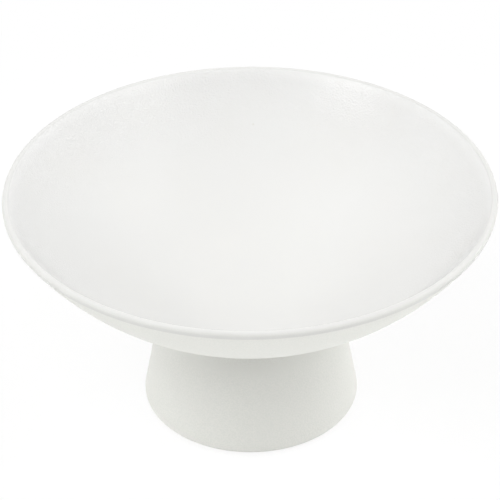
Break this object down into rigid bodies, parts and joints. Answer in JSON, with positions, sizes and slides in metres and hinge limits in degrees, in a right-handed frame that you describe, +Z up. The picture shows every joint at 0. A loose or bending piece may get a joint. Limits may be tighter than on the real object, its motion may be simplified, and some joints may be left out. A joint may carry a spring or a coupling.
{
  "type": "footed compote bowl",
  "caption": "Wide shallow round dish with a full-round lip on a hollow tapering pedestal foot, in matt-glazed white stoneware, for serving or displaying fruit.",
  "frame": {"origin": "on the table, under the middle of the foot", "axes": "+Z up along the bowl's axis of turning; X and Y pass between the pads"},
  "size_m": [0.25, 0.25, 0.13],
  "materials": {
    "glaze": "matte",
    "slip": "matte",
    "felt": "matte"
  },
  "bodies": {
    "root": {"bowl": "glaze", "pedestal_foot": "glaze", "slip_joint": "slip", "foot_pad_1": "felt", "foot_pad_2": "felt", "foot_pad_3": "felt", "foot_pad_4": "felt"}
  },
  "joints": []
}
